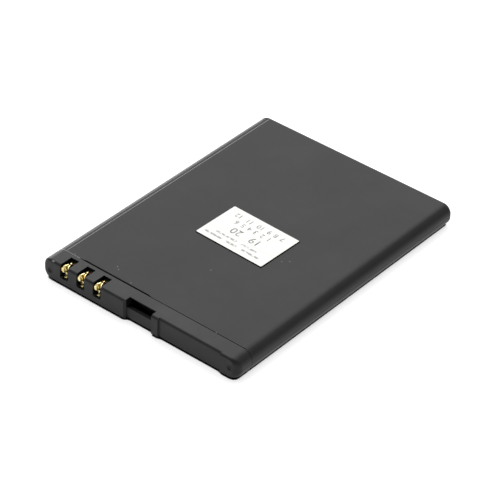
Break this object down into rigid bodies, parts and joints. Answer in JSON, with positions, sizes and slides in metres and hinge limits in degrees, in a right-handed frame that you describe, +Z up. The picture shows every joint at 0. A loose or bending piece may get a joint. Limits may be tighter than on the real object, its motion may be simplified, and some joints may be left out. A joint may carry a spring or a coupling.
{
  "type": "mobile phone battery",
  "caption": "Flat removable phone battery: film-wrapped cell with a moulded black end cap, recessed fork contacts in open slots, a latch notch and a small paper date sticker.",
  "frame": {"origin": "middle of the underside", "axes": "+X across the short side, with the contacts near -X; +Y along the long side, away from the terminal end; +Z up out of the face with the date sticker"},
  "size_m": [0.044, 0.06, 0.0044],
  "materials": {
    "black_moulding": "satin moulded",
    "black_film": "matte film",
    "white_paper": "uncoated paper",
    "adhesive": "soft foam tape",
    "gold_plate": "gold plated spring sheet",
    "aluminium_can": "drawn",
    "gasket": "moulded",
    "nickel": "rolled",
    "barrier_sheet": "fibre sheet",
    "cutoff_body": "moulded",
    "amber_tape": "smooth tape",
    "board_laminate": "solder mask",
    "chip_resin": "moulded",
    "resistor_body": "glazed",
    "capacitor_body": "fired ceramic"
  },
  "bodies": {
    "root": {"end_cap": "black_moulding", "wrap_label": "black_film", "date_sticker": "white_paper", "bottom_cap": "black_moulding", "end_adhesive": "adhesive", "contact_positive": "gold_plate", "contact_sense": "gold_plate", "contact_negative": "gold_plate", "cell_can": "aluminium_can", "terminal_gasket": "gasket", "terminal_rivet": "nickel", "fill_plug": "aluminium_can", "lid_insulator": "barrier_sheet", "positive_plate": "aluminium_can", "positive_tab": "nickel", "negative_tab": "nickel", "cutoff_tab": "nickel", "thermal_cutoff": "cutoff_body", "board_tape": "amber_tape", "circuit_board": "board_laminate", "pad_positive": "nickel", "pad_negative": "nickel", "protection_chip": "chip_resin", "switch_transistor": "chip_resin", "identity_resistor": "resistor_body", "supply_resistor": "resistor_body", "sense_resistor": "resistor_body", "filter_capacitor": "capacitor_body", "bypass_capacitor": "capacitor_body"}
  },
  "joints": []
}
